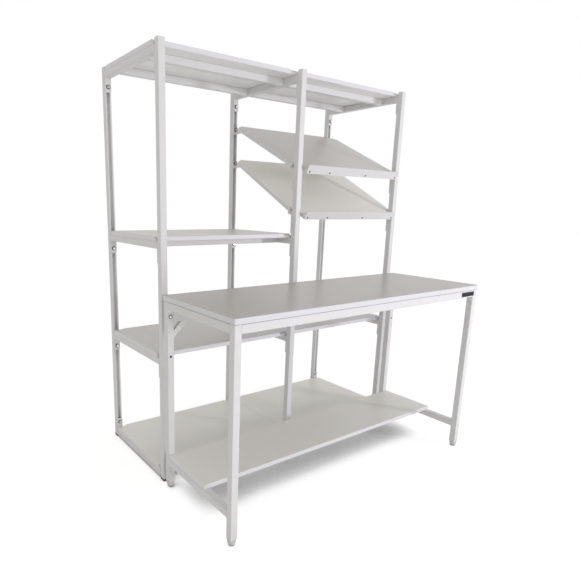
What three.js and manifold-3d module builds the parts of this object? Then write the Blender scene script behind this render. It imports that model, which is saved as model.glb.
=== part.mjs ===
// A laboratory bench standing in front of a two-bay reagent rack.
// Millimetres, +Z up. X runs along the bench, Y from the bench's front to the rack's rear.
// The origin is the middle of the footprint, on the floor.
import * as THREE from 'three';
import { mergeVertices } from 'three/addons/utils/BufferGeometryUtils.js';
import Module from 'manifold-3d';

// Rack: six posts in two rows of three, measured over the outer faces of the posts.
const RACK_WIDTH = 1570.6;
const RACK_DEPTH = 604.4;
const RACK_HEIGHT = 1942;

// The lipped square channel that posts, side rails and beams are made of.
const CHANNEL = 32;
const CHANNEL_WALL = 2.5;
const CHANNEL_SLOT = 17;
const CHANNEL_CORNER = 3;

// Flat shelves: heights of the boards' top faces. The top shelf is level with the post tops,
// and the middle shelf hangs a set distance below them.
const MID_SHELF_DROP = 784;
const LOW_SHELF_TOP = 629;
const BOTTOM_SHELF_TOP = 61;
const BOARD = 20;
const BOARD_FRONT_GAP = 12;
const BOARD_REAR_GAP = 7;
const BOARD_SEAM = 1;
const REBATE_LENGTH = 50;
const REBATE_DEPTH = 12;
const REBATE_HEIGHT = 8;
const BOARD_EDGE = 0.8;

// Bolt tabs on the side rails, clamped against the slotted face of a post.
const TAB = 6;
const TAB_DROP = 65;
const TAB_CORNER = 6;
const TAB_BITE = 1;
const TAB_INSET = 1;

// Beam frames under the flat shelves.
const BEAM_SETBACK = 106;
const CLEAT = 5;
const CLEAT_INSET = 1.2;

// Tilted shelves in the right bay: their pivots are set down from the post tops.
const TILT_BOARD = 19;
const UPPER_TILT_DEG = 25.3;
const LOWER_TILT_DEG = 28.65;
const UPPER_PIVOT_DROP = 454.4;
const LOWER_PIVOT_DROP = 675.8;
const PIVOT_SETBACK = 34;
const NOSE_RADIUS = 9;
const NOSE_CLEARANCE = 0.2;
const REAR_NOSE_REACH = 49;
const REAR_NOSE_RADIUS = 6;
const TILT_FRONT_OVERHANG = 12;
const TILT_REAR_GAP = 30;
const TONGUE_CLEARANCE = 13.5;
const TILT_NOTCH_GAP = 6;
const TILT_CLIP_WIDTH = 40;
const TILT_CLIP_DEPTH = 30;
const LIP = 3;
const LIP_HEIGHT = 45;
const LIP_CLEARANCE = 0.3;

// Brackets of the tilted shelves.
const WEB = 8;
const WEB_DROP = 22;
const FRONT_TAB_DROP = 106;
const FRONT_TAB_RISE = 4;
const REAR_TAB_DROP = 10;
const REAR_TAB_RISE = 32;

// Bench.
const BENCH_LENGTH = 1557.5;
const BENCH_DEPTH = 533.4;
const BENCH_RACK_GAP = 32.5;
const BENCH_SHIFT = 5.8;
const WORKTOP_HEIGHT = 914;
const WORKTOP = 25;
const WORKTOP_OVERHANG = 2;
const WORKTOP_EDGE = 1.5;
const WORKTOP_CORNER = 4;
const LEG = 32;
const LEG_WALL = 2;
const LEG_CORNER = 3;
const APRON_HEIGHT = 35.6;
const REAR_APRON_HEIGHT = 93;
const STRETCHER_HEIGHT = 115;
const BENCH_SHELF = 19;
const BENCH_SHELF_DEPTH = 304.4;
const BENCH_SHELF_EDGE = 3;
const BENCH_SHELF_CORNER = 6;
const LEG_HOLE_DIAMETER = 11;
const LEG_HOLE_HEIGHT = 640;

// Knee braces between the rear legs and the rear apron.
const BRACE_REACH = 73;
const BRACE_WIDTH = 32;
const BRACE = 20;
const BRACE_INSET = 4;

// Levelling feet: a domed foot on a threaded stem, screwed up against the leg.
const FOOT_HEIGHT = 27;
const FOOT_DIAMETER = 36;
const FOOT_TREAD_DIAMETER = 16;
const FOOT_CLEARANCE = 0.3;
const STEM_DIAMETER = 12;
const STEM_LENGTH = 40;

const ARC_STEPS = 3;
const ROUND_STEPS = 24;

const wasm = await Module();
wasm.setup();

// Derived places, in a frame with its zero at the rack's front left corner on the floor.
const half = CHANNEL / 2;
const postX = { left: half, middle: RACK_WIDTH / 2, right: RACK_WIDTH - half };
const postY = { front: half, rear: RACK_DEPTH - half };
const frontFace = CHANNEL;
const rearFace = RACK_DEPTH - CHANNEL;
const clearDepth = rearFace - frontFace;
const benchRear = -BENCH_RACK_GAP;
const benchFront = benchRear - BENCH_DEPTH;
const benchLeft = -BENCH_SHIFT;
const benchRight = benchLeft + BENCH_LENGTH;
const legTop = WORKTOP_HEIGHT - WORKTOP;

// A closed solid from a three.js geometry.
function solid(geometry) {
  geometry.deleteAttribute('normal');
  geometry.deleteAttribute('uv');
  const merged = mergeVertices(geometry, 1e-4);
  return new wasm.Manifold(new wasm.Mesh({
    numProp: 3,
    vertProperties: new Float32Array(merged.attributes.position.array),
    triVerts: new Uint32Array(merged.index.array),
  }));
}

// A three.js geometry from a solid.
function geometryOf(body) {
  const { vertProperties, triVerts } = body.getMesh();
  const geometry = new THREE.BufferGeometry();
  geometry.setAttribute('position', new THREE.BufferAttribute(new Float32Array(vertProperties), 3));
  geometry.setIndex(new THREE.BufferAttribute(new Uint32Array(triVerts), 1));
  geometry.computeVertexNormals();
  return geometry;
}

function polygon(points) {
  return new THREE.Shape(points.map(([x, y]) => new THREE.Vector2(x, y)));
}

// A rectangle about its centre with round corners.
function roundRect(width, height, radius, Kind = THREE.Shape) {
  const x = width / 2 - radius;
  const y = height / 2 - radius;
  const path = new Kind();
  path.moveTo(x, -y - radius);
  path.absarc(x, -y, radius, -Math.PI / 2, 0, false);
  path.absarc(x, y, radius, 0, Math.PI / 2, false);
  path.absarc(-x, y, radius, Math.PI / 2, Math.PI, false);
  path.absarc(-x, -y, radius, Math.PI, 1.5 * Math.PI, false);
  return path;
}

// The lipped channel's section: square, with the slot in the middle of its +Y side.
function channelShape() {
  const inner = half - CHANNEL_WALL;
  const slot = CHANNEL_SLOT / 2;
  const corner = half - CHANNEL_CORNER;
  const shape = new THREE.Shape();
  shape.moveTo(slot, inner);
  shape.lineTo(inner, inner);
  shape.lineTo(inner, -inner);
  shape.lineTo(-inner, -inner);
  shape.lineTo(-inner, inner);
  shape.lineTo(-slot, inner);
  shape.lineTo(-slot, half);
  shape.absarc(-corner, corner, CHANNEL_CORNER, Math.PI / 2, Math.PI, false);
  shape.absarc(-corner, -corner, CHANNEL_CORNER, Math.PI, 1.5 * Math.PI, false);
  shape.absarc(corner, -corner, CHANNEL_CORNER, 1.5 * Math.PI, 2 * Math.PI, false);
  shape.absarc(corner, corner, CHANNEL_CORNER, 0, Math.PI / 2, false);
  shape.lineTo(slot, half);
  return shape;
}

function extrude(shape, depth, edge = 0) {
  return new THREE.ExtrudeGeometry(shape, {
    depth: depth - 2 * edge,
    steps: 1,
    curveSegments: ARC_STEPS,
    bevelEnabled: edge > 0,
    bevelThickness: edge,
    bevelSize: edge,
    bevelOffset: -edge,
    bevelSegments: 1,
  }).translate(0, 0, edge);
}

function tube(width, height, length) {
  const shape = roundRect(width, height, LEG_CORNER);
  const bore = Math.max(LEG_CORNER - LEG_WALL, LEG_WALL / 4);
  shape.holes.push(roundRect(width - 2 * LEG_WALL, height - 2 * LEG_WALL, bore, THREE.Path));
  return extrude(shape, length);
}

// Lays an extrusion down: its length along +X or +Y, its section's own Y upright.
const alongX = (geometry) => geometry.rotateX(Math.PI / 2).rotateZ(Math.PI / 2);
const alongY = (geometry) => geometry.rotateX(Math.PI / 2).rotateZ(Math.PI);

const finishes = {
  frame: { color: 0xe6e6ea, roughness: 0.45, metalness: 0.0 },
  board: { color: 0xcbc8c4, roughness: 0.5, metalness: 0.0 },
  worktop: { color: 0xc2bfba, roughness: 0.45, metalness: 0.0 },
  bracket: { color: 0xe9e9ec, roughness: 0.45, metalness: 0.0 },
  foot: { color: 0xd4d3cf, roughness: 0.4, metalness: 0.0 },
};

const assembly = new THREE.Group();
const rack = new THREE.Group();
const bench = new THREE.Group();

function piece(parent, name, geometry, finish, x = 0, y = 0, z = 0) {
  const mesh = new THREE.Mesh(geometry, new THREE.MeshStandardMaterial(finishes[finish]));
  mesh.name = name;
  mesh.position.set(x, y, z);
  parent.add(mesh);
  return mesh;
}

// Posts: upright channels whose slots face each other across the rack's depth.
for (const [row, y] of Object.entries(postY)) {
  for (const [side, x] of Object.entries(postX)) {
    const post = piece(rack, `post_${row}_${side}`, extrude(channelShape(), RACK_HEIGHT), 'frame', x, y, 0);
    post.rotation.z = row === 'front' ? 0 : Math.PI;
  }
}

// A bolt tab: a flat plate with round outer corners, upright against a post's slotted face.
function tabPlate(low, high) {
  const plate = extrude(roundRect(CHANNEL - 2 * TAB_INSET, high - low, TAB_CORNER), TAB);
  return plate.rotateX(Math.PI / 2).translate(0, TAB, (low + high) / 2);
}

// Side rails: a channel with its slot up under the boards, and a tab welded on at both ends.
const railLength = clearDepth - 2 * TAB + 2 * TAB_BITE;
function sideRail(tabLow, tabHigh) {
  const channel = alongY(extrude(channelShape(), railLength)).translate(0, TAB - TAB_BITE, half);
  const farTab = tabPlate(tabLow, tabHigh).translate(0, clearDepth - TAB, 0);
  return geometryOf(solid(channel).add(solid(tabPlate(tabLow, tabHigh))).add(solid(farTab)));
}

// Flat shelf board, with a shallow rebate in the top of each corner beside the posts.
const bayWidth = RACK_WIDTH / 2;
const boardWidth = bayWidth - BOARD_SEAM / 2;
const boardDepth = clearDepth - BOARD_FRONT_GAP - BOARD_REAR_GAP;
function shelfBoard() {
  const x = boardWidth / 2;
  const y = boardDepth / 2;
  let board = solid(extrude(polygon([[x, -y], [x, y], [-x, y], [-x, -y]]), BOARD, BOARD_EDGE));
  for (const endX of [-x, x]) {
    for (const endY of [-y, y]) {
      const rebate = new THREE.BoxGeometry(2 * REBATE_LENGTH, 2 * REBATE_DEPTH, 2 * REBATE_HEIGHT)
        .translate(endX, endY, BOARD);
      board = board.subtract(solid(rebate));
    }
  }
  return geometryOf(board);
}

// Beam frame: two channels, slot up, between two rails, with a flat cleat along each rail.
const beamLength = postX.middle - postX.left - CHANNEL;
function beamFrame() {
  const channel = (y) => solid(alongX(extrude(channelShape(), beamLength - 2 * CLEAT + 2 * TAB_BITE))
    .translate(CLEAT - TAB_BITE, y, half));
  const cleatLength = clearDepth - 2 * BEAM_SETBACK - 2 * CLEAT_INSET;
  const cleat = (x) => solid(new THREE.BoxGeometry(CLEAT, cleatLength, CHANNEL - 2 * CLEAT_INSET)
    .translate(x, clearDepth / 2, half));
  return geometryOf(channel(BEAM_SETBACK + half)
    .add(channel(clearDepth - BEAM_SETBACK - half))
    .add(cleat(CLEAT / 2))
    .add(cleat(beamLength - CLEAT / 2)));
}

const levels = [
  { name: 'top', top: RACK_HEIGHT, bays: ['left', 'right'], beams: true, tabsDown: true },
  { name: 'mid', top: RACK_HEIGHT - MID_SHELF_DROP, bays: ['left'], beams: true, tabsDown: true },
  { name: 'low', top: LOW_SHELF_TOP, bays: ['left', 'right'], beams: true, tabsDown: true },
  { name: 'bottom', top: BOTTOM_SHELF_TOP, bays: ['left', 'right'], beams: false, tabsDown: false },
];
for (const level of levels) {
  const boardUnder = level.top - BOARD;
  const railUnder = boardUnder - CHANNEL;
  const [tabLow, tabHigh] = level.tabsDown
    ? [-TAB_DROP, CHANNEL - TAB_INSET] : [TAB_INSET, CHANNEL + TAB_DROP];
  const sides = level.bays.includes('right') ? ['left', 'middle', 'right'] : ['left', 'middle'];
  for (const side of sides) {
    piece(rack, `rail_${level.name}_${side}`, sideRail(tabLow, tabHigh), 'frame',
      postX[side], frontFace, railUnder);
  }
  for (const bay of level.bays) {
    const start = bay === 'left' ? 0 : bayWidth + BOARD_SEAM / 2;
    piece(rack, `shelf_${level.name}_${bay}`, shelfBoard(), 'board',
      start + boardWidth / 2, frontFace + BOARD_FRONT_GAP + boardDepth / 2, boardUnder);
    if (level.beams) {
      const from = (bay === 'left' ? postX.left : postX.middle) + half;
      piece(rack, `beam_frame_${level.name}_${bay}`, beamFrame(), 'frame', from, frontFace, railUnder);
    }
  }
}

// Tilted shelf. Its group is turned about the pivot line of the front brackets: X along the
// line, Y up the slope, Z square to the board. The board's underside rests on the bracket noses.
const tiltUnder = NOSE_RADIUS + NOSE_CLEARANCE;
const tiltTop = tiltUnder + TILT_BOARD;
const pivotY = frontFace + PIVOT_SETBACK;
function tiltedShelf(name, degrees, height) {
  const angle = THREE.MathUtils.degToRad(degrees);
  const slopeAt = (y, above) => (y - pivotY + above * Math.sin(angle)) / Math.cos(angle);
  const front = slopeAt(-TILT_FRONT_OVERHANG, tiltUnder);
  const step = slopeAt(frontFace + TAB + TILT_NOTCH_GAP, tiltTop);
  const rear = slopeAt(rearFace - TILT_REAR_GAP, tiltTop);
  const left = postX.middle - half;
  const right = RACK_WIDTH;
  const tongueLeft = postX.middle + half + TONGUE_CLEARANCE;
  const tongueRight = RACK_WIDTH - CHANNEL - TONGUE_CLEARANCE;
  const group = new THREE.Group();
  group.position.set(0, pivotY, height);
  group.rotation.x = angle;
  rack.add(group);

  const outline = polygon([
    [tongueLeft, front], [tongueRight, front], [tongueRight, step], [right, step],
    [right, rear - TILT_CLIP_DEPTH], [right - TILT_CLIP_WIDTH, rear],
    [left + TILT_CLIP_WIDTH, rear], [left, rear - TILT_CLIP_DEPTH],
    [left, step], [tongueLeft, step],
  ]);
  piece(group, `tilt_shelf_${name}`, extrude(outline, TILT_BOARD, BOARD_EDGE), 'board', 0, 0, tiltUnder);

  const lip = extrude(roundRect(tongueRight - tongueLeft, LIP_HEIGHT, LIP), LIP);
  piece(group, `tilt_lip_${name}`, lip.rotateX(Math.PI / 2), 'frame',
    (tongueLeft + tongueRight) / 2, front - LIP_CLEARANCE, tiltUnder + LIP_HEIGHT / 2);

  // Brackets: a tab on the post and a web that ends in a round nose under the board. The front
  // web is a gusset, the rear one a level arm.
  const noseRise = (rearFace - REAR_NOSE_REACH - pivotY) * Math.tan(angle)
    + (NOSE_RADIUS - REAR_NOSE_RADIUS) / Math.cos(angle);
  for (const side of ['middle', 'right']) {
    const frontReach = PIVOT_SETBACK;
    const frontWeb = new THREE.Shape();
    frontWeb.moveTo(TAB - TAB_BITE, -NOSE_RADIUS - WEB_DROP);
    frontWeb.absarc(frontReach, 0, NOSE_RADIUS, -Math.PI / 3, Math.PI * 0.7, false);
    frontWeb.lineTo(TAB - TAB_BITE, -NOSE_RADIUS - TAB);
    const frontBracket = solid(webPlate(frontWeb)).add(solid(tabPlate(-FRONT_TAB_DROP, FRONT_TAB_RISE)));
    piece(rack, `tilt_front_bracket_${name}_${side}`, geometryOf(frontBracket), 'bracket',
      postX[side], frontFace, height);

    const rearWeb = new THREE.Shape();
    const root = REAR_NOSE_REACH - TAB + TAB_BITE;
    rearWeb.absarc(0, 0, REAR_NOSE_RADIUS, Math.PI / 2, 1.5 * Math.PI, false);
    rearWeb.lineTo(root, -REAR_NOSE_RADIUS);
    rearWeb.lineTo(root, REAR_NOSE_RADIUS);
    const rearTab = tabPlate(-REAR_TAB_DROP, REAR_TAB_RISE).translate(0, REAR_NOSE_REACH - TAB, 0);
    const rearBracket = solid(webPlate(rearWeb)).add(solid(rearTab));
    piece(rack, `tilt_rear_bracket_${name}_${side}`, geometryOf(rearBracket), 'bracket',
      postX[side], rearFace - REAR_NOSE_REACH, height + noseRise);
  }
}

// An upright web: a section in Y and Z, centred on the bracket's middle plane.
function webPlate(shape) {
  const plate = new THREE.ExtrudeGeometry(shape, {
    depth: WEB, steps: 1, curveSegments: ROUND_STEPS / 2, bevelEnabled: false,
  });
  return plate.translate(0, 0, -WEB / 2).rotateX(Math.PI / 2).rotateZ(Math.PI / 2);
}

tiltedShelf('upper', UPPER_TILT_DEG, RACK_HEIGHT - UPPER_PIVOT_DROP);
tiltedShelf('lower', LOWER_TILT_DEG, RACK_HEIGHT - LOWER_PIVOT_DROP);

// Bench legs: square tubes from above the levelling feet to the worktop's underside.
const legX = { left: benchLeft + LEG / 2, right: benchRight - LEG / 2 };
const legY = { front: benchFront + LEG / 2, rear: benchRear - LEG / 2 };
const legLength = legTop - FOOT_HEIGHT;
for (const [row, y] of Object.entries(legY)) {
  for (const [side, x] of Object.entries(legX)) {
    let leg = tube(LEG, LEG, legLength);
    if (row === 'rear') {
      const drill = new THREE.CylinderGeometry(LEG_HOLE_DIAMETER / 2, LEG_HOLE_DIAMETER / 2, LEG, ROUND_STEPS)
        .translate(0, -LEG / 2, LEG_HOLE_HEIGHT - FOOT_HEIGHT);
      leg = geometryOf(solid(leg).subtract(solid(drill)));
    }
    piece(bench, `bench_leg_${row}_${side}`, leg, 'frame', x, y, FOOT_HEIGHT);
  }
}

// Aprons under the worktop and side stretchers, all between the legs.
const spanX = BENCH_LENGTH - 2 * LEG;
const spanY = BENCH_DEPTH - 2 * LEG;
piece(bench, 'bench_apron_front', alongX(tube(LEG, APRON_HEIGHT, spanX)), 'frame',
  benchLeft + LEG, legY.front, legTop - APRON_HEIGHT / 2);
piece(bench, 'bench_apron_rear', alongX(tube(LEG, REAR_APRON_HEIGHT, spanX)), 'frame',
  benchLeft + LEG, legY.rear, legTop - REAR_APRON_HEIGHT / 2);
for (const [side, x] of Object.entries(legX)) {
  piece(bench, `bench_apron_${side}`, alongY(tube(LEG, APRON_HEIGHT, spanY)), 'frame',
    x, benchFront + LEG, legTop - APRON_HEIGHT / 2);
  piece(bench, `bench_stretcher_${side}`, alongY(tube(LEG, LEG, spanY)), 'frame',
    x, benchFront + LEG, STRETCHER_HEIGHT + LEG / 2);
}

// Worktop on the aprons, and the half-depth shelf on the stretchers against the rear legs.
const worktopOutline = roundRect(BENCH_LENGTH + 2 * WORKTOP_OVERHANG, BENCH_DEPTH + 2 * WORKTOP_OVERHANG,
  WORKTOP_CORNER);
piece(bench, 'worktop', extrude(worktopOutline, WORKTOP, WORKTOP_EDGE), 'worktop',
  (benchLeft + benchRight) / 2, (benchFront + benchRear) / 2, legTop);
const benchShelfOutline = roundRect(BENCH_LENGTH, BENCH_SHELF_DEPTH, BENCH_SHELF_CORNER);
piece(bench, 'bench_shelf', extrude(benchShelfOutline, BENCH_SHELF, BENCH_SHELF_EDGE), 'board',
  (benchLeft + benchRight) / 2, benchRear - LEG - BENCH_SHELF_DEPTH / 2, STRETCHER_HEIGHT + LEG);

// Knee braces: diagonal struts from the rear legs' inner faces to the rear apron's underside.
const apronUnder = legTop - REAR_APRON_HEIGHT;
for (const [side, sign, from] of [['left', 1, benchLeft + LEG], ['right', -1, benchRight - LEG]]) {
  const strut = polygon([
    [0, -BRACE_REACH], [sign * BRACE_REACH, 0],
    [sign * (BRACE_REACH - BRACE_WIDTH), 0], [0, -BRACE_REACH + BRACE_WIDTH],
  ]);
  piece(bench, `knee_brace_${side}`, extrude(strut, BRACE).rotateX(Math.PI / 2), 'frame',
    from, benchRear - LEG + BRACE_INSET + BRACE, apronUnder);
}

// Levelling feet: domed below, flat under the leg, with a stem up inside the tube.
const domeRadius = FOOT_DIAMETER / 2;
const treadRadius = FOOT_TREAD_DIAMETER / 2;
const footTop = FOOT_HEIGHT - FOOT_CLEARANCE;
const domeTop = footTop - LEG_WALL;
const footProfile = [[0, 0], [treadRadius, 0]];
for (let step = 1; step <= ARC_STEPS * 2; step += 1) {
  const turn = (step / (ARC_STEPS * 2)) * (Math.PI / 2);
  footProfile.push([
    treadRadius + (domeRadius - treadRadius) * Math.sin(turn),
    domeTop * (1 - Math.cos(turn)),
  ]);
}
footProfile.push([domeRadius, footTop], [STEM_DIAMETER / 2, footTop]);
footProfile.push([STEM_DIAMETER / 2, FOOT_HEIGHT + STEM_LENGTH], [0, FOOT_HEIGHT + STEM_LENGTH]);
for (const [row, y] of Object.entries(legY)) {
  for (const [side, x] of Object.entries(legX)) {
    const foot = new THREE.LatheGeometry(footProfile.map(([r, z]) => new THREE.Vector2(r, z)), ROUND_STEPS);
    piece(bench, `levelling_foot_${row}_${side}`, foot.rotateX(Math.PI / 2), 'foot', x, y, 0);
  }
}

// Both units are placed about the middle of the whole footprint.
const xMin = Math.min(0, benchLeft - WORKTOP_OVERHANG);
const xMax = Math.max(RACK_WIDTH, benchRight + WORKTOP_OVERHANG);
const yMin = benchFront - WORKTOP_OVERHANG;
assembly.position.set(-(xMin + xMax) / 2, -(yMin + RACK_DEPTH) / 2, 0);
assembly.add(rack, bench);

export default assembly;
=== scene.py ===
import math

import bmesh
import bpy
from mathutils import Matrix, Vector


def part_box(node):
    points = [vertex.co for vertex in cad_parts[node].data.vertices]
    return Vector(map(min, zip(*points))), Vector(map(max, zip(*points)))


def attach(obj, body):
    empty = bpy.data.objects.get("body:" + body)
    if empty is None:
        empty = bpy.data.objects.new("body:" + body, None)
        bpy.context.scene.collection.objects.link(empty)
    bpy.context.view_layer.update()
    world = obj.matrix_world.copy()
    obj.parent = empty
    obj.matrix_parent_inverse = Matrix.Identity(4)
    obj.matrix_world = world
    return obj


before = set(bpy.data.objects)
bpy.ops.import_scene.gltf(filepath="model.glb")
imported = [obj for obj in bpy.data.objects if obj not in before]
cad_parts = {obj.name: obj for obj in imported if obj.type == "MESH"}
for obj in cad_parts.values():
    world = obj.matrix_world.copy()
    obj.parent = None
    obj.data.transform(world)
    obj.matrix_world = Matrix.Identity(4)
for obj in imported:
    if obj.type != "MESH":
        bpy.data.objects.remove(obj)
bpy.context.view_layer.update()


# Powder-coated steel: the rails, beams, aprons, stretchers, braces, lips and brackets.
# Folded and welded channel, tube and sheet, sprayed white and baked, so the coat has a fine
# orange peel, a faint unevenness and a little floor dirt low down.
class Wire:
    """A socket of a material: arithmetic on wires adds Math nodes to the material's tree."""

    def __init__(self, tree, socket=None):
        self.tree = tree
        self.socket = socket

    def node(self, kind, settings=None, sockets=None, output=0):
        """Adds any node, sets its settings, then its sockets' values or links."""
        made = self.tree.nodes.new(kind)
        for key, value in (settings or {}).items():
            setattr(made, key, value)
        for key, value in (sockets or {}).items():
            if isinstance(value, Wire):
                self.tree.links.new(value.socket, made.inputs[key])
            else:
                made.inputs[key].default_value = value
        return Wire(self.tree, made.outputs[output])

    def maths(self, operation, first, second=0.0):
        return self.node("ShaderNodeMath", {"operation": operation}, {0: first, 1: second})

    def __add__(self, other):
        return self.maths("ADD", self, other)

    def __radd__(self, other):
        return self.maths("ADD", other, self)

    def __sub__(self, other):
        return self.maths("SUBTRACT", self, other)

    def __rsub__(self, other):
        return self.maths("SUBTRACT", other, self)

    def __mul__(self, other):
        return self.maths("MULTIPLY", self, other)

    def __rmul__(self, other):
        return self.maths("MULTIPLY", other, self)

    def __abs__(self):
        return self.maths("ABSOLUTE", self)

    def step(self, low, high):
        """0 below low, 1 above high, smooth between."""
        return self.node("ShaderNodeMapRange", {"interpolation_type": "SMOOTHSTEP"},
                         {"Value": self, "From Min": low, "From Max": high})

    def noise(self, scale, detail=2.0, stretch=None):
        """Noise on this wire's coordinates, about 0.5, with stretch as a scale along X, Y and Z."""
        place = self
        if stretch:
            place = self.node("ShaderNodeMapping", None, {"Vector": self, "Scale": stretch})
        return self.node("ShaderNodeTexNoise", None, {"Vector": place, "Scale": scale, "Detail": detail})

    def axis(self, letter):
        return self.node("ShaderNodeSeparateXYZ", None, {"Vector": self}, output=letter)

    def mixed(self, low, high):
        """A colour between low and high, by this wire; the numbers are a Mix node's colour sockets."""
        return self.node("ShaderNodeMix", {"data_type": "RGBA"}, {0: self, 6: low, 7: high}, output=2)


class Finish:
    """A material with one shader, and the wire of its object coordinates."""

    def __init__(self, name):
        self.material = bpy.data.materials.new(name)
        self.material.use_nodes = True
        tree = self.material.node_tree
        tree.nodes.clear()
        surface = tree.nodes.new("ShaderNodeOutputMaterial")
        self.shader = tree.nodes.new("ShaderNodeBsdfPrincipled")
        tree.links.new(self.shader.outputs[0], surface.inputs["Surface"])
        self.place = Wire(tree).node("ShaderNodeTexCoord", output="Object")

    def set(self, **sockets):
        for key, value in sockets.items():
            socket = self.shader.inputs[key.replace("_", " ")]
            if isinstance(value, Wire):
                self.material.node_tree.links.new(value.socket, socket)
            else:
                socket.default_value = value

    def bump(self, height, strength, distance):
        self.set(Normal=self.place.node("ShaderNodeBump", None,
                                        {"Height": height, "Strength": strength, "Distance": distance}))


white = (0.77, 0.765, 0.76, 1)
white_shade = (0.735, 0.73, 0.722, 1)
bracket_white = (0.79, 0.785, 0.78, 1)
floor_dirt_brown = (0.42, 0.40, 0.37, 1)
dirt_reach = 0.16
dirt_strength = 0.30
cloud_share = 0.7
coat_roughness = 0.36
peel_roughness = 0.12
cloud_roughness = 0.06


def powder_coat(name, colour, shade, inside=None, painted_inside_tone=None):
    """A sprayed coat; inside gives a mask, from the place, of where the inside colour shows instead:
    painted light in the post slots and painted shade in the leg tubes.
    """
    finish = Finish(name)
    peel = finish.place.noise(scale=520.0, detail=1.0)
    cloud = finish.place.noise(scale=7.0, detail=3.0)
    smudge = finish.place.noise(scale=28.0, detail=4.0)
    floor_dirt = (1 - finish.place.axis("Z").step(0.0, dirt_reach)) * smudge
    coat = (cloud * cloud_share + peel * (1 - cloud_share)).mixed(colour, shade)
    skin = (floor_dirt * dirt_strength).mixed(coat, floor_dirt_brown)
    if inside:
        skin = inside(finish.place).mixed(skin, painted_inside_tone)
    finish.set(Base_Color=skin, Roughness=coat_roughness + peel * peel_roughness + cloud * cloud_roughness,
               Specular_IOR_Level=0.4)
    finish.bump(peel, strength=0.12, distance=0.0004)
    return finish.material


def dress(starts, material):
    for name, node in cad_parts.items():
        if name.startswith(starts):
            node.data.materials.clear()
            node.data.materials.append(material)


dress(("rail_", "beam_frame_", "bench_apron_", "bench_stretcher_", "knee_brace_", "tilt_lip_"),
      powder_coat("white_powder_coat", white, white_shade))
dress(("tilt_front_bracket_", "tilt_rear_bracket_"),
      powder_coat("bracket_powder_coat", bracket_white, white_shade))


# Posts: square channels, roll-formed with a lipped slot along their whole length for the bolts.
# The slot walls get a lighter white as painted light, so the slots look pale between their lips.
outer_posts = [Vector(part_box("post_front_left")[0]), Vector(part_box("post_rear_right")[1])]
post_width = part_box("post_front_left")[1][0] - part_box("post_front_left")[0][0]
post_skin = 0.0008
post_blend = 0.0003
post_inside = post_width / 2 - post_skin
slot_painted_light = (0.94, 0.935, 0.93, 1)


def inside_post(place):
    """1 on the inner walls of the six channels, by the distance from their axes."""
    middle = (outer_posts[0] + outer_posts[1]) / 2
    spread = (outer_posts[1] - outer_posts[0]) / 2 - Vector((post_width, post_width, 0)) / 2
    from_middle = abs(place.axis("X") - middle.x)
    off_x = place.maths("MINIMUM", from_middle, abs(from_middle - spread.x))
    off_y = abs(abs(place.axis("Y") - middle.y) - spread.y)
    within = [1 - off.step(post_inside - post_blend, post_inside) for off in (off_x, off_y)]
    return within[0] * within[1]


dress(("post_",), powder_coat("post_powder_coat", white, white_shade, inside_post, slot_painted_light))


# Bench legs: welded square tubes in the same white coat, drilled for bolts in the rear pair.
# Inside the tubes the colour is near-black as painted shade, so the holes look dark.
first_leg = [Vector(corner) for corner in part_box("bench_leg_front_left")]
last_leg = [Vector(corner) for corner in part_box("bench_leg_rear_right")]
leg_skin = 0.0012
leg_blend = 0.0002
leg_inside = (first_leg[1].x - first_leg[0].x) / 2 - leg_skin
tube_painted_shade = (0.030, 0.027, 0.024, 1)


def inside_leg(place):
    """1 within the tubes, by the distance from the axes of the four legs."""
    near = []
    for letter, index in (("X", 0), ("Y", 1)):
        middle = (first_leg[0][index] + last_leg[1][index]) / 2
        spread = (last_leg[0][index] + last_leg[1][index]) / 2 - middle
        off_axis = abs(abs(place.axis(letter) - middle) - spread)
        near.append(1 - off_axis.step(leg_inside - leg_blend, leg_inside))
    return near[0] * near[1]


dress(("bench_leg_",), powder_coat("leg_powder_coat", white, white_shade, inside_leg, tube_painted_shade))


# Shelf boards: pressed board faced with a pale warm laminate, with a white band ironed on the edges.
# The underside is painted a lighter white as painted light from below, and a shallow rebate is routed in
# the corners by the posts.
edge_band = (0.765, 0.757, 0.785, 1)
underside_painted_light = (0.88, 0.875, 0.86, 1)
gap_painted_shade = (0.26, 0.25, 0.25, 1)
pale_face = (0.675, 0.655, 0.625, 1)
pale_shade = (0.64, 0.62, 0.59, 1)
painted_light_face = (0.88, 0.865, 0.815, 1)
painted_light_shade = (0.85, 0.835, 0.785, 1)
edge_slope = 0.62
face_slope = 0.7
mottle_share = 0.6
board_roughness = 0.36
rubbed_roughness = 0.02


def laminate(name, colour, shade, roughness, painted_shadow_mask=None, shine=0.35):
    """A laminate face with a banded edge and an underside lighter as painted light; a mask given, from the
    place, marks where a painted shadow line lies.
    """
    finish = Finish(name)
    fleck = finish.place.noise(scale=900.0, detail=2.0)
    mottle = finish.place.noise(scale=2.2, detail=3.0)
    rubbed = finish.place.noise(scale=3.0, detail=2.0, stretch=(1.0, 4.0, 1.0))
    face = (mottle * mottle_share + fleck * (1 - mottle_share)).mixed(colour, shade)
    upright = finish.place.node("ShaderNodeTexCoord", output="Normal").axis("Z")
    flat = abs(upright).step(edge_slope, face_slope)
    underside_lit = (-1 * upright).step(edge_slope, face_slope).mixed(face, underside_painted_light)
    skin = flat.mixed(edge_band, underside_lit)
    if painted_shadow_mask:
        skin = painted_shadow_mask(finish.place).mixed(skin, gap_painted_shade)
    finish.set(Base_Color=skin, Roughness=roughness + rubbed * rubbed_roughness, Specular_IOR_Level=shine)
    finish.bump(fleck * flat, strength=0.10, distance=0.0003)
    return finish.material


dress(("shelf_top_", "shelf_mid_", "shelf_low_", "tilt_shelf_upper"),
      laminate("pale_laminate", pale_face, pale_shade, board_roughness))
# The lower tilted board, the bench shelf and the bottom shelves get a lighter copy of the same laminate as
# painted light.
dress(("tilt_shelf_lower", "bench_shelf", "shelf_bottom_"),
      laminate("painted_light_laminate", painted_light_face, painted_light_shade, board_roughness))
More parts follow.
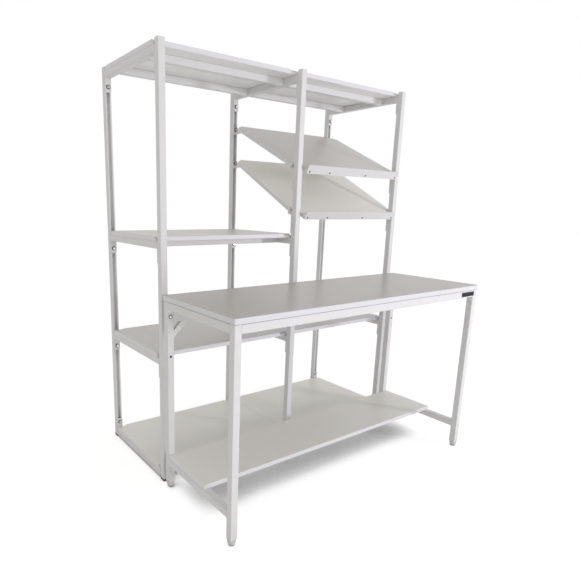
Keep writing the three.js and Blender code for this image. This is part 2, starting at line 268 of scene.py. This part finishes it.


# Worktop: a thicker board with a chemical-resistant grey laminate and a white edge band all round.
# Wiping has polished the face, so it is smoother than the shelves.
# A dark line is painted along the foot of the band as painted shade for the fine gap above the aprons.
worktop_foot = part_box("worktop")[0][2]
joint_height = 0.0022
joint_core = 0.6
worktop_face = (0.545, 0.52, 0.498, 1)
worktop_shade = (0.525, 0.50, 0.478, 1)
worktop_roughness = 0.28


# Painted shade: the mask of the dark line along the band's foot.
def painted_gap_shadow(place):
    return 1 - place.axis("Z").step(worktop_foot + joint_height * joint_core, worktop_foot + joint_height)


dress(("worktop",), laminate("worktop_laminate", worktop_face, worktop_shade, worktop_roughness,
                             painted_gap_shadow, shine=0.12))


# Levelling feet: moulded light grey domes on threaded stems, screwed up against the legs.
# The tread picks up a darker ring of dirt from the floor.
foot_grey = (0.60, 0.60, 0.575, 1)
tread_dirt = (0.22, 0.21, 0.20, 1)
tread_foot = 0.002
tread_top = 0.012
tread_strength = 0.6
foot_roughness = 0.38
foot_plastic = Finish("light_grey_foot_plastic")
tread = 1 - foot_plastic.place.axis("Z").step(tread_foot, tread_top)
foot_plastic.set(Base_Color=(tread * tread_strength).mixed(foot_grey, tread_dirt),
                 Roughness=foot_roughness + foot_plastic.place.noise(scale=120.0) * 0.16)
foot_plastic.bump(foot_plastic.place.noise(scale=700.0, detail=1.0), strength=0.08, distance=0.0003)
dress(("levelling_foot_",), foot_plastic.material)


# Post shoes: black moulded caps pressed over the posts' lower ends, which spare the floor.
# Each is a shallow square cap with soft edges, standing on the floor.
def add_piece(name, mesh_maker, materials, body):
    shape = bmesh.new()
    mesh_maker(shape)
    mesh = bpy.data.meshes.new(name)
    shape.to_mesh(mesh)
    shape.free()
    for material in materials:
        mesh.materials.append(material)
    piece = bpy.data.objects.new(name, mesh)
    bpy.context.scene.collection.objects.link(piece)
    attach(piece, body)


def round_edges(shape, edges, radius, segments):
    bmesh.ops.bevel(shape, geom=edges, offset=radius, offset_type="OFFSET", segments=segments, profile=0.5,
                    affect="EDGES", material=-1)


shoe_height = 0.010
shoe_wall = 0.0008
shoe_corner = 0.0035
shoe_rim = 0.0004
shoe_black = (0.016, 0.016, 0.017, 1)
scuff_grey = (0.05, 0.05, 0.05, 1)
shoe_plastic = Finish("black_shoe_plastic")
scuff = shoe_plastic.place.noise(scale=160.0, detail=3.0).step(0.5, 0.72)
shoe_plastic.set(Base_Color=scuff.mixed(shoe_black, scuff_grey), Roughness=0.5 + scuff * 0.2)
shoe_plastic.bump(shoe_plastic.place.noise(scale=900.0, detail=1.0), strength=0.15, distance=0.0003)


def shoe_shape(post):
    low, high = map(Vector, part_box(post))
    size = Vector((high.x - low.x + 2 * shoe_wall, high.y - low.y + 2 * shoe_wall, shoe_height))
    centre = Vector(((low.x + high.x) / 2, (low.y + high.y) / 2, shoe_height / 2))

    def make(shape):
        cube = bmesh.ops.create_cube(shape, size=1.0)
        bmesh.ops.scale(shape, vec=size, verts=cube["verts"])
        upright = [e for e in shape.edges if abs(e.verts[0].co.z - e.verts[1].co.z) > shoe_height / 2]
        round_edges(shape, upright, shoe_corner, segments=4)
        rim = [e for e in shape.edges if all(v.co.z > 0 for v in e.verts)]
        round_edges(shape, rim, shoe_rim, segments=2)
        bmesh.ops.translate(shape, vec=centre, verts=shape.verts)
    return make


for row in ("front", "rear"):
    for side in ("left", "middle", "right"):
        add_piece(f"post_shoe_{row}_{side}", shoe_shape(f"post_{row}_{side}"), [shoe_plastic.material],
                  "frame")


# Rail bolts: bright zinc-plated hexagon bolts on dark washers, whose dark tone is also a painted shade ring
# round each head, one through each tab into the slot.
# Heads are forged with a chamfered crown, and the plating has dulled unevenly.
def plating(name, bright, dull, polish):
    """A plated steel, mottled between two greys."""
    finish = Finish(name)
    spot = finish.place.noise(scale=260.0, detail=3.0)
    finish.set(Base_Color=spot.step(0.35, 0.7).mixed(bright, dull), Metallic=1.0,
               Roughness=polish + spot * 0.2)
    finish.bump(spot, strength=0.15, distance=0.0002)
    return finish.material


zinc = plating("bright_zinc_plating", (0.80, 0.80, 0.79, 1), (0.58, 0.57, 0.56, 1), polish=0.16)
washer_shade_plating = plating("washer_painted_shade_plating", (0.16, 0.155, 0.15, 1), (0.08, 0.078, 0.075, 1), polish=0.3)
bolt_metals = [washer_shade_plating, zinc]
head_metal = 1
washer_sides = 28
washer_radius = 0.0108
washer_height = 0.0016
washer_chamfer = 0.0003
hexagon_sides = 6
head_radius = 0.0078
head_height = 0.0056
head_chamfer = 0.0006
to_front = (0, -1, 0)
to_rear = (0, 1, 0)


def standing(seat, outward):
    """The place of a fastener that stands on seat and faces outward."""
    turn = Vector((0, 0, 1)).rotation_difference(Vector(outward)).to_matrix().to_4x4()
    return Matrix.Translation(Vector(seat)) @ turn


def stub(shape, at, foot, height, sides, radius, top_radius):
    """A closed stub along the axis of at, from foot up by height."""
    middle = at @ Matrix.Translation((0, 0, foot + height / 2))
    return bmesh.ops.create_cone(shape, cap_ends=True, segments=sides, radius1=radius, radius2=top_radius,
                                 depth=height, matrix=middle)["verts"]


def hex_bolt(shape, seat, outward):
    """A washer and a chamfered hexagon head standing on seat, facing outward."""
    at = standing(seat, outward)
    washer = stub(shape, at, 0.0, washer_height, washer_sides, washer_radius, washer_radius)
    head = stub(shape, at, washer_height, head_height, hexagon_sides, head_radius, head_radius)
    for vert in head:
        for face in vert.link_faces:
            face.material_index = head_metal
    for group, chamfer in ((washer, washer_chamfer), (head, head_chamfer)):
        edges = {e for v in group for e in v.link_edges}
        round_edges(shape, list(edges), chamfer, segments=2)


tab_thickness = 0.006
bolt_drop = 0.040
bolt_rise = 0.077
rail_width = 0.032
for name in sorted(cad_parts):
    if not name.startswith("rail_"):
        continue
    low, high = map(Vector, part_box(name))
    if name.startswith("rail_bottom"):
        height = low.z + bolt_rise
    else:
        height = high.z - rail_width - bolt_drop
    middle = (low.x + high.x) / 2

    def pair(shape):
        hex_bolt(shape, (middle, low.y + tab_thickness, height), to_rear)
        hex_bolt(shape, (middle, high.y - tab_thickness, height), to_front)
    add_piece(f"bolts_{name}", pair, bolt_metals, "frame")


# Bracket bolts of the tilted shelves: the same hexagon bolts, one in each bracket's tab.
# The rear ones are slackened to slide the bracket along its post when the tilt is set.
front_bolt_rise = 0.022
rear_bolt_drop = 0.014
for level in ("upper", "lower"):
    for side in ("middle", "right"):
        low, high = map(Vector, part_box(f"tilt_front_bracket_{level}_{side}"))
        seat = ((low.x + high.x) / 2, low.y + tab_thickness, low.z + front_bolt_rise)
        add_piece(f"bolt_front_bracket_{level}_{side}", lambda shape: hex_bolt(shape, seat, to_rear),
                  bolt_metals, "frame")
        low, high = map(Vector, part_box(f"tilt_rear_bracket_{level}_{side}"))
        seat = ((low.x + high.x) / 2, high.y - tab_thickness, high.z - rear_bolt_drop)
        add_piece(f"bolt_rear_bracket_{level}_{side}", lambda shape: hex_bolt(shape, seat, to_front),
                  bolt_metals, f"rear_bracket_{level}_{side}")


# Lip screws: small dark pan-head screws through each lip into the board's front edge.
# Each head is low and tapered, with a round drive recess.
screw_black = (0.03, 0.03, 0.032, 1)
screw_worn = (0.12, 0.12, 0.12, 1)
screw_oxide = Finish("black_oxide_screw")
worn = screw_oxide.place.noise(scale=300.0, detail=2.0)
screw_oxide.set(Base_Color=worn.step(0.45, 0.75).mixed(screw_black, screw_worn), Metallic=0.8,
                Roughness=0.38 + worn * 0.2)
screw_sides = 24
screw_radius = 0.0044
screw_height = 0.0022
screw_taper = 0.72
recess_rim = 0.34
recess_depth = 0.0012


def pan_head(shape, seat, outward):
    """A tapered head with a sunk recess standing on seat, facing outward."""
    head = stub(shape, standing(seat, outward), 0.0, screw_height, screw_sides, screw_radius,
                screw_radius * screw_taper)
    crown = max({f for v in head for f in v.link_faces},
                key=lambda f: f.calc_center_median().dot(Vector(outward)))
    bmesh.ops.inset_region(shape, faces=[crown], thickness=screw_radius * recess_rim, depth=0.0)
    bmesh.ops.translate(shape, vec=Vector(outward) * -recess_depth, verts=crown.verts)


lip_places = (0.018, 0.161, 0.438, 0.692)
lip_screw_height = 0.010
lip_thickness = 0.003
tilt_degrees = {"upper": 25.3, "lower": 28.65}
for level, degrees in tilt_degrees.items():
    angle = math.radians(degrees)
    low, high = map(Vector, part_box(f"tilt_lip_{level}"))
    up_lip = Vector((0, -math.sin(angle), math.cos(angle)))
    outward = Vector((0, -math.cos(angle), -math.sin(angle)))
    lip_foot = Vector((0, high.y - lip_thickness * math.cos(angle), low.z))

    def screws(shape):
        for along in lip_places:
            seat = lip_foot + up_lip * lip_screw_height + Vector((low.x + along, 0, 0))
            pan_head(shape, seat, outward)
    add_piece(f"lip_screws_{level}", screws, [screw_oxide.material], f"tilted_shelf_{level}")


# Apron bolts: polished cap bolts through the rear legs into the deep rear apron.
# Each has a bright domed head on a dark sealing washer, whose dark tone is also a painted shade ring.
dome_radius = 0.0070
dome_squash = 0.75
seal_radius = 0.0098


def dome_bolt(shape, seat, outward):
    """A sealing washer and a domed head standing on seat, facing outward; only the dome's foot is flat."""
    at = standing(seat, outward)
    stub(shape, at, 0.0, washer_height, washer_sides, seal_radius, seal_radius)
    ball = bmesh.ops.create_uvsphere(shape, u_segments=24, v_segments=12, radius=dome_radius)["verts"]
    bmesh.ops.scale(shape, vec=(1, 1, dome_squash), verts=ball)
    around = {e for v in ball for e in v.link_edges} | {f for v in ball for f in v.link_faces}
    cut = bmesh.ops.bisect_plane(shape, geom=ball + list(around), plane_co=(0, 0, 0), plane_no=(0, 0, 1),
                                 clear_inner=True)
    rim = [item for item in cut["geom_cut"] if isinstance(item, bmesh.types.BMEdge)]
    bmesh.ops.edgeloop_fill(shape, edges=rim)
    dome = list({v for v in ball if v.is_valid} | {v for e in rim for v in e.verts})
    bmesh.ops.transform(shape, matrix=at @ Matrix.Translation((0, 0, washer_height)), verts=dome)
    for face in {face for vert in dome for face in vert.link_faces}:
        face.material_index = head_metal
        face.smooth = len(face.verts) < 5
    bmesh.ops.recalc_face_normals(shape, faces=shape.faces)


apron_bolt_height = 0.822
for side in ("left", "right"):
    low, high = map(Vector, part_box(f"bench_leg_rear_{side}"))
    seat = ((low.x + high.x) / 2, low.y, apron_bolt_height)
    add_piece(f"apron_bolt_{side}", lambda shape: dome_bolt(shape, seat, to_front), bolt_metals,
              "frame")


# Apron plate: a plain dark anodised plate, glued flat on the front apron near its right end.
# It has rounded corners, a bright rim left by the punch and a fine satin grain along its length.
plate_size = Vector((0.113, 0.0011, 0.024))
plate_right_gap = 0.0265
plate_corner = 0.003
plate_edge = 0.0003
rim_width = 0.0016
rim_blend = 0.3
plate_black = (0.010, 0.010, 0.011, 1)
plate_grain = (0.022, 0.022, 0.024, 1)
bright_rim = (0.42, 0.42, 0.43, 1)
apron_low, apron_high = map(Vector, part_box("bench_apron_front"))
plate_middle = Vector((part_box("bench_leg_front_right")[1][0] - plate_right_gap - plate_size.x / 2,
                       apron_low.y - plate_size.y / 2, (apron_low.z + apron_high.z) / 2))
anodised = Finish("dark_anodised_plate")
grain = anodised.place.noise(scale=160.0, detail=3.0, stretch=(1.0, 1.0, 40.0))


def near_rim(letter, index):
    """1 on the rim at both ends of the plate along one axis."""
    half = plate_size[index] / 2
    off_middle = abs(anodised.place.axis(letter) - plate_middle[index])
    return off_middle.step(half - rim_width, half - rim_width * (1 - rim_blend))


rim = anodised.place.maths("MAXIMUM", near_rim("X", 0), near_rim("Z", 2))
anodised.set(Base_Color=rim.mixed(grain.mixed(plate_black, plate_grain), bright_rim),
             Roughness=0.42 + grain * 0.15, Specular_IOR_Level=0.15)


def plate_shape(shape):
    cube = bmesh.ops.create_cube(shape, size=1.0)
    bmesh.ops.scale(shape, vec=plate_size, verts=cube["verts"])
    corners = [e for e in shape.edges if abs(e.verts[0].co.y - e.verts[1].co.y) > plate_size.y / 2]
    round_edges(shape, corners, plate_corner, segments=5)
    front = [e for e in shape.edges if all(v.co.y < 0 for v in e.verts)]
    round_edges(shape, front, plate_edge, segments=2)
    bmesh.ops.translate(shape, vec=plate_middle, verts=shape.verts)


add_piece("apron_plate", plate_shape, [anodised.material], "frame")


# Floor: a plain white studio floor, which keeps the soft shadow under the bench and the rack.
# It shows as white to the camera, and to what mirrors it, but near the objects ambient occlusion dims that
# glow into a painted shadow.
floor_half = 30.0
floor_drop = 0.0005
floor_shape = bmesh.new()
bmesh.ops.create_grid(floor_shape, x_segments=1, y_segments=1, size=floor_half)
floor_mesh = bpy.data.meshes.new("studio_floor")
floor_shape.to_mesh(floor_mesh)
floor_shape.free()
floor = bpy.data.objects.new("studio_floor", floor_mesh)
floor.location.z = -floor_drop
bpy.context.scene.collection.objects.link(floor)
floor_paint = Finish("white_floor")


def seen_as_white(wire):
    """1 for rays from the camera, and for those mirrored or let through on their way to it."""
    paths = [wire.node("ShaderNodeLightPath", output=f"Is {kind} Ray")
             for kind in ("Camera", "Glossy", "Transmission")]
    return wire.maths("MAXIMUM", paths[0], wire.maths("MAXIMUM", paths[1], paths[2]))


glow = 0.83
deepest_shadow = 0.12
shadow_reach = 0.32
closed_in = 0.25
wide_open = 0.60
floor_lit = (0.92, 0.92, 0.92, 1)
floor_seen = (0.30, 0.30, 0.30, 1)
black = (0, 0, 0, 1)
pure_white = (1, 1, 1, 1)
# Painted shadow: ambient occlusion dims the floor's glow near the objects.
painted_shadow_openness = floor_paint.place.node("ShaderNodeAmbientOcclusion", {"samples": 16}, {"Distance": shadow_reach},
                                  output="AO").step(closed_in, wide_open)
seen = seen_as_white(floor_paint.place)
glow_with_painted_shadow = seen * (deepest_shadow + painted_shadow_openness * (1 - deepest_shadow)) * glow
floor_paint.set(Base_Color=seen.mixed(floor_lit, floor_seen), Roughness=0.9, Specular_IOR_Level=0.0,
                Emission_Strength=1.0, Emission_Color=glow_with_painted_shadow.mixed(black, pure_white))
floor_mesh.materials.append(floor_paint.material)


# Studio light: a small key from the front right at chest height, weak ones low in front and from the
# upper left, and an even, slightly warm surround, which shows as plain white behind the object.
world = bpy.data.worlds.new("white_studio")
bpy.context.scene.world = world
world.use_nodes = True
world.node_tree.nodes.clear()
sky = Wire(world.node_tree)
backdrop = seen_as_white(sky)
ambient = 0.62
warm_surround = (1.0, 0.995, 0.965, 1)
surround = sky.node("ShaderNodeBackground", None,
                    {"Color": backdrop.mixed(warm_surround, pure_white),
                     "Strength": ambient + backdrop * (1 - ambient)})
world_out = world.node_tree.nodes.new("ShaderNodeOutputWorld")
world.node_tree.links.new(surround.socket, world_out.inputs["Surface"])


def lamp(name, where, target, size, watts, colour):
    light = bpy.data.lights.new(name, "AREA")
    light.shape = "DISK"
    light.size = size
    light.energy = watts
    light.color = colour
    holder = bpy.data.objects.new(name, light)
    holder.location = where
    holder.rotation_euler = (Vector(target) - Vector(where)).to_track_quat("-Z", "Y").to_euler()
    bpy.context.scene.collection.objects.link(holder)


lamp("key_front_right", where=(3.1, -4.1, 1.5), target=(0.0, 0.0, 0.9), size=0.6, watts=78.0,
     colour=(0.90, 0.885, 1.0))
lamp("low_front", where=(-0.4, -3.4, 0.25), target=(-0.3, 0.3, 1.9), size=1.5, watts=22.0,
     colour=(0.94, 0.935, 1.0))
lamp("fill_upper_left", where=(-3.4, -3.2, 3.4), target=(-0.3, 0.0, 0.9), size=0.9, watts=7.0,
     colour=(1.0, 0.99, 0.97))


# Camera: the photograph's own view, from the front left at chest height, tilted a little downwards.
# The picture is a crop, so its principal point lies off the middle, which the lens shift follows.
camera_place = (-1.7637, -1.94398, 1.29761)
image_width = 580.0
focal_pixels = 495.075
principal = (230.096, 319.166)
camera_data = bpy.data.cameras.new("photo_camera")
camera_data.sensor_width = 36.0
camera_data.lens = camera_data.sensor_width * focal_pixels / image_width
camera_data.shift_x = 0.5 - principal[0] / image_width
camera_data.shift_y = principal[1] / image_width - 0.5
camera_data.clip_end = 100.0
yaw, pitch, roll = (math.radians(degrees) for degrees in (-35.0986, -12.9646, 1.0184))
forward = Vector((-math.sin(yaw) * math.cos(pitch), math.cos(yaw) * math.cos(pitch), math.sin(pitch)))
level_right = Vector((math.cos(yaw), math.sin(yaw), 0.0))
level_up = level_right.cross(forward)
right = level_right * math.cos(roll) + level_up * math.sin(roll)
up = level_up * math.cos(roll) - level_right * math.sin(roll)
facing = Matrix((right, up, -forward)).transposed().to_4x4()
camera = bpy.data.objects.new("photo_camera", camera_data)
camera.matrix_world = Matrix.Translation(camera_place) @ facing
bpy.context.scene.collection.objects.link(camera)
bpy.context.scene.camera = camera
bpy.context.scene.view_settings.view_transform = "Standard"

bpy.context.view_layer.update()
